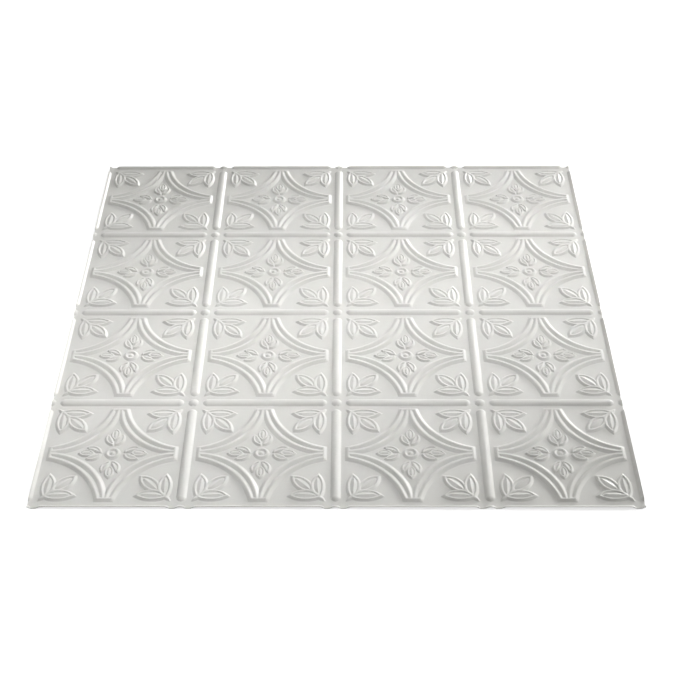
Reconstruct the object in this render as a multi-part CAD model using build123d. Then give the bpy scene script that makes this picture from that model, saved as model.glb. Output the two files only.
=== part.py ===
from build123d import *
import os
from math import radians, sqrt, tan

# A lay-in ceiling tile, vacuum-formed from one thin PVC sheet in a traditional pressed-tin pattern.
# It lies face up: the back of the flat field is at z = 0 and the ornament rises towards +Z.
# The origin is at the centre of the tile on that back plane. All sizes are in millimetres.

# Sheet, trimmed a little inside the crest of its outer beads to drop into a 24 inch grid
tile_side = 603.25
sheet_thickness = 0.76
repeats = 4
edge_trim = 1.2

# Round beads along the grid lines, hollow behind, with a stud at each crossing
bead_width = 11.4
bead_height = 2.8
bead_end_distance = 10.6
hollow_crown_width = 5.0
stud_diameter = 11.0
stud_crown_diameter = 5.0
stud_height = 2.7
stud_sides = 8

# Double ridge that sweeps round each corner of a square
ridge_height = 2.2
ridge_spacing = 6.1
ridge_slope_width = 4.3
groove_floor = 0.5
chords_per_turn = 8

# Bar that closes a pair of arcs at the middle of each side
bar_distance = 13.0
bar_inner_slope = 3.0

# Button at the centre of each square
button_diameter = 17.0
button_crest_diameter = 12.6
button_sides = 10
button_height = 2.2

# Leaves, with bevelled sides and a flat top
leaf_height = 1.8

# Sprig of three leaves in each corner of a square, along its diagonal from the crossing
sprig_root = 14.0
sprig_side_length = 39.2
sprig_side_spread = 34.0
sprig_side_bulge = 3.0
sprig_notch_distance = 44.5
sprig_notch_width = 16.2
sprig_tip = 63.3

# Palmette of three leaves from the button towards the middle of each side
palmette_root = 10.0
palmette_side_length = 18.9
palmette_side_spread = 28.5
palmette_side_bulge = 4.6
palmette_notch_distance = 24.0
palmette_notch_width = 10.0
palmette_tip = 36.0

# Sizes that follow from the ones above
pitch = (tile_side + 2 * edge_trim) / repeats
arc_radius = pitch / 2
field_z = sheet_thickness
seat_z = field_z / 2
crest_z = field_z + ridge_height
groove_z = field_z + groove_floor
blank_side = repeats * pitch + 2 * bead_width


def bead():
    """One bead along X between two studs: a bar with a round top."""
    radius = (bead_width**2 / 4 + bead_height**2) / (2 * bead_height)
    disc = Pos(0, field_z + bead_height - radius) * Circle(radius)
    above_seat = Pos(0, seat_z) * Rectangle(3 * radius, 3 * radius, align=(Align.CENTER, Align.MIN))
    return extrude(Plane.YZ * (disc & above_seat), amount=pitch / 2 - bead_end_distance, both=True)


def bead_hollow():
    """The channel that the forming leaves behind a bead, one wall inside its skin."""
    foot = bead_width / 2 - sheet_thickness
    roof_z = field_z + bead_height - sheet_thickness
    section = Polyline(
        (-foot, -roof_z), (-foot, 0), (-hollow_crown_width / 2, roof_z), (hollow_crown_width / 2, roof_z),
        (foot, 0), (foot, -roof_z), close=True)
    half_length = pitch / 2 - bead_end_distance - sheet_thickness
    return extrude(Plane.YZ * make_face(section), amount=half_length, both=True)


def along_grid_lines(shape):
    """Copies of a shape on every side of every square."""
    lines = repeats + 1
    along_x = [place * shape for place in GridLocations(pitch, pitch, repeats, lines)]
    return along_x + [place * Rot(0, 0, 90) * shape for place in GridLocations(pitch, pitch, lines, repeats)]


def stud():
    """The stud at a crossing of two bead lines."""
    foot = Pos(0, 0, seat_z) * RegularPolygon(stud_diameter / 2, stud_sides)
    crown = Pos(0, 0, field_z + stud_height) * RegularPolygon(stud_crown_diameter / 2, stud_sides)
    return loft([foot, crown])


def corner_arc():
    """A quarter turn of the double ridge round the lower left corner of a square, in short chords."""
    crest_in = arc_radius - ridge_spacing / 2
    crest_out = arc_radius + ridge_spacing / 2
    foot_in = crest_in - ridge_slope_width
    foot_out = crest_out + ridge_slope_width
    section = Polyline(
        (foot_in, seat_z), (foot_in, field_z), (crest_in, crest_z), (arc_radius, groove_z),
        (crest_out, crest_z), (foot_out, field_z), (foot_out, seat_z), close=True)
    step = 90 / chords_per_turn
    straight = Rot(0, 0, step / 2) * extrude(Plane.XZ * make_face(section), amount=pitch / 4, both=True)
    far = 2 * pitch
    slice_face = make_face(Polyline((0, 0), (far, 0), (far, far * tan(radians(step))), close=True))
    chord = straight & extrude(slice_face, amount=2 * crest_z)
    turn = Part() + [Rot(0, 0, step * place) * chord for place in range(chords_per_turn)]
    quarter = Box(pitch / 2, pitch / 2, 2 * crest_z, align=(Align.MIN, Align.MIN, Align.CENTER))
    return Pos(-pitch / 2, -pitch / 2) * (turn & quarter)


def side_bar():
    """The bar across the lower side of a square, and the wedge that cuts the arcs off at its slope."""
    crest_y = bar_distance - pitch / 2
    foot_y = crest_y - ridge_slope_width
    inner_y = crest_y + bar_inner_slope
    section = Polyline(
        (foot_y, seat_z), (foot_y, field_z), (crest_y, crest_z), (inner_y, groove_z), (inner_y, seat_z), close=True)
    half_length = arc_radius - sqrt((arc_radius - ridge_spacing / 2) ** 2 - bar_distance**2)
    bar = extrude(Plane.YZ * make_face(section), amount=half_length, both=True)
    outside = Polyline((foot_y, field_z), (crest_y, crest_z), (-pitch, crest_z), (-pitch, 0), (foot_y, 0), close=True)
    wedge = extrude(Plane.YZ * make_face(outside), amount=pitch / 4, both=True)
    return bar, wedge


def button():
    """The raised button in the middle of a square."""
    foot = Pos(0, 0, seat_z) * RegularPolygon(button_diameter / 2, button_sides)
    crown = Pos(0, 0, field_z + button_height) * RegularPolygon(button_crest_diameter / 2, button_sides)
    return loft([foot, crown])


def three_leaves(root, side_length, side_spread, side_bulge, notch_distance, notch_width, tip):
    """A relief of one leaf straight ahead along X between two that spread from the root."""
    tip_turn = Rot(0, 0, -side_spread)
    side_tip = (Pos(root, 0) * tip_turn * Pos(side_length, 0)).position
    bend = (Pos(root, 0) * tip_turn * Pos(0.45 * side_length, -side_bulge)).position
    corners = [(root, 0), (bend.X, bend.Y), (side_tip.X, side_tip.Y), (notch_distance, -notch_width / 2), (tip, 0)]
    outline = corners + [(x, -y) for x, y in reversed(corners[1:-1])]
    face = Pos(0, 0, seat_z) * make_face(Polyline(*outline, close=True))
    block = extrude(face, amount=field_z - seat_z + leaf_height)
    return chamfer(block.edges().group_by(Axis.Z)[-1], leaf_height)


def sprig():
    """The sprig in the lower left corner of a square."""
    leaves = three_leaves(sprig_root, sprig_side_length, sprig_side_spread, sprig_side_bulge,
                          sprig_notch_distance, sprig_notch_width, sprig_tip)
    return Pos(-pitch / 2, -pitch / 2) * Rot(0, 0, 45) * leaves


def palmette():
    """The palmette that points from the button to the right side of a square."""
    return three_leaves(palmette_root, palmette_side_length, palmette_side_spread, palmette_side_bulge,
                        palmette_notch_distance, palmette_notch_width, palmette_tip)


def square_ornament():
    """Relief inside one square of the pattern."""
    bar, wedge = side_bar()
    corner = (corner_arc() - [wedge, Rot(0, 0, -90) * wedge]) + [bar, sprig(), palmette()]
    return button() + [Rot(0, 0, 90 * turn) * corner for turn in range(4)]


def ceiling_tile():
    """The whole formed sheet, trimmed to size."""
    blank = Box(blank_side, blank_side, sheet_thickness, align=(Align.CENTER, Align.CENTER, Align.MIN))
    ornament = square_ornament()
    relief = [place * ornament for place in GridLocations(pitch, pitch, repeats, repeats)]
    studs = [place * stud() for place in GridLocations(pitch, pitch, repeats + 1, repeats + 1)]
    sheet = blank + (relief + studs + along_grid_lines(bead()))
    sheet = sheet - along_grid_lines(bead_hollow())
    return sheet & Box(tile_side, tile_side, 4 * crest_z)


os.makedirs("parts", exist_ok=True)
export_step(ceiling_tile(), "parts/ceiling_tile.step")
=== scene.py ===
import bpy
from math import asin, atan2, cos, hypot, radians, sin
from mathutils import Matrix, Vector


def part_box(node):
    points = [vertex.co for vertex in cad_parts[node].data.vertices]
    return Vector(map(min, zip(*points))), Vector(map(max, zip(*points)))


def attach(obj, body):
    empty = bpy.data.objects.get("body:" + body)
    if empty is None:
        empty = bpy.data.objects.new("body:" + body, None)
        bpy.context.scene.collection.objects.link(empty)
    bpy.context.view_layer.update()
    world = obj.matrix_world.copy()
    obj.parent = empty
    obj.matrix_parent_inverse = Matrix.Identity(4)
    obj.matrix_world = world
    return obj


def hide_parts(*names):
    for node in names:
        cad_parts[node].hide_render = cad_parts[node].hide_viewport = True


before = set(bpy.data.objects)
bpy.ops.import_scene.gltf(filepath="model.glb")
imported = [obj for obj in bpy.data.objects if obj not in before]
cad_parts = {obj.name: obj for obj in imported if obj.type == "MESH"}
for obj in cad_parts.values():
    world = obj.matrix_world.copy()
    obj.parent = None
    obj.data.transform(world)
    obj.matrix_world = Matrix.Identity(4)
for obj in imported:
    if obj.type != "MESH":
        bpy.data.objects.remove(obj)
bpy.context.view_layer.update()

# Forming tool, flat plate. The tile is one thin sheet of white PVC, vacuum-formed over a tool.
# The tool is made for a quarter of one square of the pattern, because the other quarters mirror it.
# Its origin is the crossing of two bead lines; the middle of the square is at (half, half).
mm = 0.001
low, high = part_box("ceiling_tile")
side = high[0] - low[0]
squares = 4
trim = 1.2 * mm
pitch = (side + 2 * trim) / squares
half = pitch / 2
sheet_thickness = 0.76 * mm
margin = 4 * mm


def start(place, size=1 * mm):
    """A fresh plane in edit mode, with nothing else selected."""
    bpy.ops.object.select_all(action="DESELECT")
    bpy.ops.mesh.primitive_plane_add(size=size, location=place)
    bpy.ops.object.transform_apply(location=True, rotation=False, scale=False)
    bpy.ops.object.mode_set(mode="EDIT")


def finish_shape(name):
    """Leaves edit mode and names the shape."""
    bpy.ops.object.mode_set(mode="OBJECT")
    shape = bpy.context.object
    shape.name = name
    return shape


start((half / 2, half / 2, 0), size=half + 2 * margin)
tool = [finish_shape("tool_plate")]


# Forming tool, beads and stud. Half-round beads run along the lines between the squares and stop
# in rounded ends short of each crossing, where a low dome stands alone.
bead_width = 10.0 * mm
bead_height = 2.8 * mm
bead_end = 10.3 * mm
stud_width = 11.0 * mm
stud_height = 2.7 * mm
cut_threshold = 1e-7


def cap_radius(width, height):
    """Radius of the ball whose cap has this width and height."""
    return (width**2 / 4 + height**2) / (2 * height)


def ball(place, width, height):
    """A ball sunk in the plate, so that only its cap stands above it."""
    radius = cap_radius(width, height)
    bpy.ops.object.select_all(action="DESELECT")
    bpy.ops.mesh.primitive_uv_sphere_add(segments=96, ring_count=96, radius=radius,
                                         location=(place[0], place[1], height - radius))
    bpy.ops.object.transform_apply()
    bpy.ops.object.mode_set(mode="EDIT")


def bead(along_x):
    """A ball cut in half and drawn out along the bead line."""
    centre = bead_end + bead_width / 2
    place = (centre, 0, 0) if along_x else (0, centre, 0)
    line = (1, 0, 0) if along_x else (0, 1, 0)
    ball(place, bead_width, bead_height)
    bpy.ops.mesh.select_all(action="SELECT")
    bpy.ops.mesh.bisect(plane_co=place, plane_no=line, clear_outer=True, threshold=cut_threshold)
    drawn_out = tuple(half * share for share in line)
    bpy.ops.mesh.extrude_edges_move(TRANSFORM_OT_translate={"value": drawn_out})
    return finish_shape("tool_bead")


ball((0, 0), stud_width, stud_height)
tool.append(finish_shape("tool_stud"))
tool.append(bead(along_x=True))
tool.append(bead(along_x=False))


# Forming tool, corner arcs. Two ridges sweep a quarter turn round the crossing, from the middle of
# one side of the square to the middle of the next. Each sweep has its own centre on the diagonal and
# its own radius, so that the ridges draw together a little towards both ends.
ridge_height = 2.4 * mm
ridge_slope = 3.8 * mm
crest_flat = 0.8 * mm
crest_drop = 0.15 * mm
shoulder = ridge_height - crest_drop
below = -2 * mm
ridge_sweeps = ((-4.2 * mm, 74.9 * mm), (7.0 * mm, 67.3 * mm))
bar_distance = 12.4 * mm
bar_slope = 3.2 * mm
bar_foot = bar_distance - bar_slope
merge_reach = 0.01 * mm


def draw_section(points, way=(1, 0), origin=(0, 0)):
    """Draws an upright section vertex by vertex: each point is a distance along the way and a height."""
    distance, height = points[0]
    start((origin[0] + distance * way[0], origin[1] + distance * way[1], height))
    bpy.ops.mesh.merge(type="CENTER")
    for (d0, h0), (d1, h1) in zip(points, points[1:]):
        step = ((d1 - d0) * way[0], (d1 - d0) * way[1], h1 - h0)
        bpy.ops.mesh.extrude_vertices_move(TRANSFORM_OT_translate={"value": step})
    bpy.ops.mesh.select_all(action="SELECT")


for centre, radius in ridge_sweeps:
    draw_section([
        (radius - ridge_slope, below), (radius - ridge_slope, 0), (radius - crest_flat, shoulder),
        (radius, ridge_height), (radius + crest_flat, shoulder), (radius + ridge_slope, 0),
        (radius + ridge_slope, below), (radius - ridge_slope, below)], origin=(centre, centre))
    bpy.ops.mesh.remove_doubles(threshold=merge_reach)
    bpy.ops.mesh.spin(steps=90, angle=radians(-90), center=(centre, centre, 0), axis=(0, 0, 1))
    # Both ends are cut to the outer slope of the bars, which makes the mitre
    for across in ((0, 1), (1, 0)):
        bpy.ops.mesh.select_all(action="SELECT")
        bpy.ops.mesh.bisect(plane_co=(bar_foot * across[0], bar_foot * across[1], 0),
                            plane_no=(-ridge_height * across[0], -ridge_height * across[1], bar_slope),
                            clear_outer=True, use_fill=True, threshold=cut_threshold)
    tool.append(finish_shape("tool_ridge"))


# Forming tool, end bars. A short bar across the middle of each side closes the arcs that meet there,
# so that their ridges run into it like the corners of a frame.
bar_reach = 6.6 * mm
bar_section = [
    (bar_foot, below), (bar_foot, 0), (bar_distance - crest_flat, shoulder), (bar_distance, ridge_height),
    (bar_distance + crest_flat, shoulder), (bar_distance + bar_slope, 0), (bar_distance + bar_slope, below)]

for way, along in (((1, 0), (0, 1)), ((0, 1), (1, 0))):
    first_end = half - bar_reach
    draw_section(bar_section, way, origin=(first_end * along[0], first_end * along[1]))
    bar_length = (2 * bar_reach * along[0], 2 * bar_reach * along[1], 0)
    bpy.ops.mesh.extrude_edges_move(TRANSFORM_OT_translate={"value": bar_length})
    tool.append(finish_shape("tool_bar"))


# Forming tool, corner sprigs. Three leaves and a stem grow out of each corner towards the middle of
# the square. Every leaf is a pointed outline that rises to a thin rim, dips into a groove and rises
# again to a keel along its middle. A ring is a share of its length, one of its width, and a height.
leaf_rings = [(0.82, 0.76, 2.1 * mm), (0.75, 0.66, 2.2 * mm), (0.66, 0.50, 0.9 * mm), (0.50, 0.02, 2.5 * mm)]
stem_rings = [(0.75, 0.45, 1.7 * mm), (0.62, 0.02, 2.0 * mm)]


def leaf(base, tip, left, right, keel_shift=0, rings=leaf_rings):
    """A leaf from base to tip, bulging by these amounts to the left and right of the line between them."""
    length = hypot(tip[0] - base[0], tip[1] - base[1])
    start((0, 0, 0))
    bpy.ops.mesh.merge(type="CENTER")
    for bulge, towards in ((left, -1), (right, 1)):
        radius = (length**2 / 4 + bulge**2) / (2 * bulge)
        bpy.ops.mesh.spin(steps=16, angle=2 * asin(length / 2 / radius),
                          center=(length / 2, towards * (radius - bulge), 0), axis=(0, 0, 1))
    bpy.ops.mesh.select_all(action="SELECT")
    bpy.ops.mesh.remove_doubles(threshold=merge_reach)
    along, across, height = 1, 1, 0
    for new_along, new_across, new_height in rings:
        bpy.ops.mesh.extrude_edges_move(TRANSFORM_OT_translate={"value": (0, 0, new_height - height)})
        bpy.ops.transform.resize(value=(new_along / along, new_across / across, 1),
                                 center_override=(length / 2, keel_shift, 0))
        along, across, height = new_along, new_across, new_height
    bpy.ops.mesh.edge_face_add()
    shape = finish_shape("tool_leaf")
    shape.rotation_euler[2] = atan2(tip[1] - base[1], tip[0] - base[0])
    shape.location = (base[0], base[1], 0)
    bpy.ops.object.transform_apply()
    return shape


def both_sides(base, tip, left, right, keel_shift=0):
    """A leaf and its mirror image across the diagonal of the square."""
    return [leaf(base, tip, left, right, keel_shift),
            leaf(base[::-1], tip[::-1], right, left, -keel_shift)]


def at(x, y):
    """A place on the plate, from millimetres."""
    return (x * mm, y * mm)


# The two side leaves, the middle leaf and the stem
tool += both_sides(base=at(15.0, 11.6), tip=at(16.8, 48.4), left=5.9 * mm, right=9.8 * mm,
                   keel_shift=-2.0 * mm)
tool.append(leaf(base=at(20.8, 20.8), tip=at(44.9, 44.9), left=8.5 * mm, right=8.5 * mm))
tool.append(leaf(base=at(10.0, 10.0), tip=at(24.5, 24.5), left=3.4 * mm, right=3.4 * mm, rings=stem_rings))


# Forming tool, rosette. A round button stands at the centre of each square, a ring with a knob in its
# sunk middle, and a palmette of three leaves points from it to each side.
button_section = [
    (0, 2.1 * mm), (1.0 * mm, 1.95 * mm), (1.9 * mm, 1.4 * mm), (2.8 * mm, 0.6 * mm), (3.8 * mm, 0.6 * mm),
    (4.8 * mm, 1.9 * mm), (5.6 * mm, 2.3 * mm), (6.4 * mm, 2.0 * mm), (8.4 * mm, 0), (8.4 * mm, below)]
draw_section(button_section, origin=(half, half))
bpy.ops.mesh.spin(steps=64, angle=radians(360), center=(half, half, 0), axis=(0, 0, 1))
bpy.ops.mesh.select_all(action="SELECT")
bpy.ops.mesh.remove_doubles(threshold=merge_reach)
tool.append(finish_shape("tool_button"))


def from_middle(out, aside):
    """A place on the palmette that points from the middle of the square to its lower side."""
    return (half + aside * mm, half - out * mm)


# The side leaves of the palmette, then its middle leaf
for hand in (-1, 1):
    left_bulge, right_bulge = (5.7 * mm, 2.4 * mm)[::hand]
    tool += both_sides(base=from_middle(10.6, 0.8 * hand), tip=from_middle(27.6, 8.6 * hand),
                       left=left_bulge, right=right_bulge, keel_shift=-1.0 * mm * hand)
tool += both_sides(base=from_middle(17.6, 0), tip=from_middle(35.8, 0), left=5.2 * mm, right=5.2 * mm)


# Forming the sheet. The warm sheet is drawn down over the tool, which rounds every edge a little, and
# each face of it is thinned to a light mesh. The walls of the relief come out thinner than the field.
net = 240
net_height = 10 * mm
snap_reach = 0.03 * mm

bpy.ops.object.select_all(action="DESELECT")
for shape in tool:
    shape.select_set(True)
bpy.context.view_layer.objects.active = tool[0]
bpy.ops.object.join()
forming_tool = bpy.context.object


def take(piece):
    """Selects one piece alone and makes it active."""
    bpy.ops.object.select_all(action="DESELECT")
    piece.select_set(True)
    bpy.context.view_layer.objects.active = piece


def apply_modifier(piece, kind, **settings):
    """Adds one modifier to a piece, sets it and applies it."""
    take(piece)
    modifier = piece.modifiers.new(kind.lower(), kind)
    for key, value in settings.items():
        setattr(modifier, key, value)
    bpy.ops.object.modifier_apply(modifier=modifier.name)


def choose(piece, wanted):
    """Selects the vertices of a piece that are where they are wanted, and nothing else."""
    bpy.ops.object.mode_set(mode="EDIT")
    bpy.ops.mesh.select_mode(type="VERT")
    bpy.ops.mesh.select_all(action="DESELECT")
    bpy.ops.object.mode_set(mode="OBJECT")
    for v in piece.data.vertices:
        v.select = wanted(v.co)
    bpy.ops.object.mode_set(mode="EDIT")


def draw_sheet(name, softness, faces, lift):
    """One face of the sheet over the tool, rounded, thinned out and moved to its height."""
    bpy.ops.object.select_all(action="DESELECT")
    bpy.ops.mesh.primitive_grid_add(x_subdivisions=net, y_subdivisions=net, size=half,
                                    location=(half / 2, half / 2, net_height))
    bpy.ops.object.transform_apply()
    face = bpy.context.object
    face.name = name
    apply_modifier(face, "SHRINKWRAP", target=forming_tool, wrap_method="PROJECT", use_project_z=True,
                   use_negative_direction=True, use_positive_direction=False)
    apply_modifier(face, "SMOOTH", factor=1.0, iterations=softness, use_x=False, use_y=False)
    apply_modifier(face, "DECIMATE", ratio=faces / (2 * net * net))
    bpy.ops.object.mode_set(mode="EDIT")
    bpy.ops.mesh.select_all(action="SELECT")
    bpy.ops.transform.translate(value=(0, 0, lift))
    # The borders are pressed straight, so that each quarter joins its mirror images
    for axis, squeeze in ((0, (0, 1, 1)), (1, (1, 0, 1))):
        for border in (0, half):
            choose(face, lambda co: abs(co[axis] - border) < snap_reach)
            bpy.ops.transform.resize(value=squeeze, center_override=(border, border, 0))
    bpy.ops.object.mode_set(mode="OBJECT")
    return face


front = draw_sheet("front_face", softness=5, faces=2240, lift=sheet_thickness)
back = draw_sheet("back_face", softness=12, faces=760, lift=0)
bpy.data.objects.remove(forming_tool)

take(back)
bpy.ops.object.mode_set(mode="EDIT")
bpy.ops.mesh.select_all(action="SELECT")
bpy.ops.mesh.flip_normals()
bpy.ops.object.mode_set(mode="OBJECT")
front.select_set(True)
bpy.context.view_layer.objects.active = front
bpy.ops.object.join()
sheet = bpy.context.object
sheet.name = "formed_sheet"


# Laying out the pattern. A quarter is mirrored into a square, the square is repeated four by four, and
# the blank is trimmed just inside the crests of its outer beads. Upright faces close its cut edges.
seam_reach = 0.02 * mm
touch = 0.005 * mm
crease_angle = radians(62)
edge = side / 2
first_square = -(squares - 1) / 2 * pitch


def move_mesh(piece, offset):
    """Moves all of a piece's mesh."""
    bpy.ops.object.mode_set(mode="EDIT")
    bpy.ops.mesh.select_all(action="SELECT")
    bpy.ops.transform.translate(value=offset)
    bpy.ops.object.mode_set(mode="OBJECT")


move_mesh(sheet, (-half, -half, 0))
apply_modifier(sheet, "MIRROR", use_axis=(True, True, False), use_mirror_merge=True,
               merge_threshold=seam_reach)
move_mesh(sheet, (first_square, first_square, 0))
for next_square in ((pitch, 0, 0), (0, pitch, 0)):
    apply_modifier(sheet, "ARRAY", count=squares, use_relative_offset=False, use_constant_offset=True,
                   constant_offset_displace=next_square, use_merge_vertices=True, merge_threshold=seam_reach)

bpy.ops.object.mode_set(mode="EDIT")
for out in ((1, 0, 0), (-1, 0, 0), (0, 1, 0), (0, -1, 0)):
    bpy.ops.mesh.select_all(action="SELECT")
    bpy.ops.mesh.bisect(plane_co=[edge * share for share in out], plane_no=out, clear_outer=True,
                        threshold=cut_threshold)
bpy.ops.object.mode_set(mode="OBJECT")

# Upright corner edges first, then one flat face along each side
for x in (-edge, edge):
    for y in (-edge, edge):
        choose(sheet, lambda co: abs(co.x - x) < touch and abs(co.y - y) < touch)
        bpy.ops.mesh.edge_face_add()
for axis in (0, 1):
    for border in (-edge, edge):
        choose(sheet, lambda co: abs(co[axis] - border) < touch)
        bpy.ops.mesh.edge_face_add()
bpy.ops.mesh.select_all(action="SELECT")
bpy.ops.mesh.quads_convert_to_tris()
bpy.ops.mesh.select_all(action="SELECT")
bpy.ops.mesh.normals_make_consistent(inside=False)
bpy.ops.object.mode_set(mode="OBJECT")
bpy.ops.object.shade_smooth_by_angle(angle=crease_angle)
apply_modifier(sheet, "WEIGHTED_NORMAL", keep_sharp=True, weight=60)

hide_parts("ceiling_tile")
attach(sheet, "root")


# Finish. Satin white PVC, coloured right through and never painted. Its tone drifts a little over the
# sheet, its sheen is cloudy from the forming heat, and its skin keeps a fine pebble.
def wire(tree, *steps):
    """Links sockets in pairs: each output to the input that follows it."""
    for output, socket in zip(steps[::2], steps[1::2]):
        tree.links.new(output, socket)


def mottle(tree, surface_place, grain_size, detail, low_value, high_value):
    """A soft noise with grains of this size, spread between two values."""
    noise = tree.nodes.new("ShaderNodeTexNoise")
    noise.inputs["Scale"].default_value = 1 / grain_size
    noise.inputs["Detail"].default_value = detail
    spread = tree.nodes.new("ShaderNodeMapRange")
    spread.inputs["From Min"].default_value = 0.3
    spread.inputs["From Max"].default_value = 0.7
    spread.inputs["To Min"].default_value = low_value
    spread.inputs["To Max"].default_value = high_value
    wire(tree, surface_place, noise.inputs["Vector"], noise.outputs["Fac"], spread.inputs["Value"])
    return spread.outputs["Result"]


pvc = bpy.data.materials.new("satin_white_pvc")
pvc.use_nodes = True
tree = pvc.node_tree
shader = tree.nodes["Principled BSDF"]
surface_place = tree.nodes.new("ShaderNodeTexCoord").outputs["Object"]
tone = tree.nodes.new("ShaderNodeValToRGB")
tone.color_ramp.elements[0].color = (0.800, 0.794, 0.752, 1)
tone.color_ramp.elements[1].color = (0.824, 0.819, 0.782, 1)
pebble = tree.nodes.new("ShaderNodeBump")
pebble.inputs["Strength"].default_value = 0.25
pebble.inputs["Distance"].default_value = 0.02 * mm
drift = mottle(tree, surface_place, grain_size=60 * mm, detail=3, low_value=0, high_value=1)
cloud = mottle(tree, surface_place, grain_size=25 * mm, detail=4, low_value=0.36, high_value=0.44)
grain = mottle(tree, surface_place, grain_size=0.5 * mm, detail=1, low_value=0, high_value=1)
wire(tree, drift, tone.inputs["Fac"], tone.outputs["Color"], shader.inputs["Base Color"],
     cloud, shader.inputs["Roughness"],
     grain, pebble.inputs["Height"], pebble.outputs["Normal"], shader.inputs["Normal"])
sheet.data.materials.clear()
sheet.data.materials.append(pvc)


# Floor and backdrop. The table is matt white studio paper, a hair below the tile. It glows for the
# camera and in reflections, so that it shows as white, and it keeps the shadow that the tile throws.
floor_width = 8
floor_gap = 0.05 * mm
bpy.ops.object.select_all(action="DESELECT")
bpy.ops.mesh.primitive_plane_add(size=floor_width, location=(0, 0, -floor_gap))
bpy.ops.object.transform_apply()
floor = bpy.context.object
floor.name = "studio_floor"
paper = bpy.data.materials.new("white_paper")
paper.use_nodes = True
tree = paper.node_tree
surface = tree.nodes["Principled BSDF"]
surface.inputs["Base Color"].default_value = (0.9, 0.9, 0.9, 1)
surface.inputs["Roughness"].default_value = 0.9
surface.inputs["Emission Color"].default_value = (1, 1, 1, 1)
rays = tree.nodes.new("ShaderNodeLightPath")
either = tree.nodes.new("ShaderNodeMath")
either.operation = "MAXIMUM"
glow = tree.nodes.new("ShaderNodeMath")
glow.operation = "MULTIPLY"
glow.inputs[1].default_value = 0.6
wire(tree, rays.outputs["Is Camera Ray"], either.inputs[0],
     rays.outputs["Is Glossy Ray"], either.inputs[1],
     either.outputs[0], glow.inputs[0],
     glow.outputs[0], surface.inputs["Emission Strength"])
floor.data.materials.append(paper)

world = bpy.data.worlds.new("studio")
bpy.context.scene.world = world
world.use_nodes = True
room_fill = world.node_tree.nodes["Background"]
room_fill.inputs["Color"].default_value = (1, 1, 1, 1)
room_fill.inputs["Strength"].default_value = 0.13


# Lights. Two soft boxes stand low on the right and beyond the tile and rake across its relief, and a
# large one hangs high. A long strip with a grid lays a broad bright band from far right to near left.
def soft_box(name, position, turn, size, spread, power):
    """A rectangular soft box. Its grid lets light out within this spread."""
    bpy.ops.object.light_add(type="AREA", location=position, rotation=turn)
    light = bpy.context.object
    light.name = name
    light.data.shape = "RECTANGLE"
    light.data.size, light.data.size_y = size
    light.data.spread = radians(spread)
    light.data.energy = power


for name, around, up, distance, size, power in (
        ("side_light", radians(84), radians(14), 4.0, 0.8, 68),
        ("far_light", radians(30), radians(14), 4.0, 0.8, 82),
        ("top_light", radians(330), radians(72), 3.0, 1.2, 25)):
    position = (distance * cos(up) * sin(around), distance * cos(up) * cos(around), distance * sin(up))
    soft_box(name, position, (up - radians(90), 0, -around), size=(size, size), spread=180, power=power)
soft_box("overhead_strip", (0, 0, 2.5), (0, 0, radians(27)), size=(0.9, 0.1), spread=19, power=0.54)


# Camera. It looks down on the tile from in front and above, where the photograph was taken from, at a
# place worked out from the corners and crossings of the pattern.
bpy.ops.object.camera_add(location=(14.4 * mm, -1189.6 * mm, 970.5 * mm),
                          rotation=(radians(49.744), radians(0.383), radians(0.378)))
camera = bpy.context.object
camera.data.lens = 71.51
camera.data.sensor_width = 36
camera.data.clip_start = 0.01
bpy.context.scene.camera = camera
bpy.context.scene.view_settings.view_transform = "Standard"
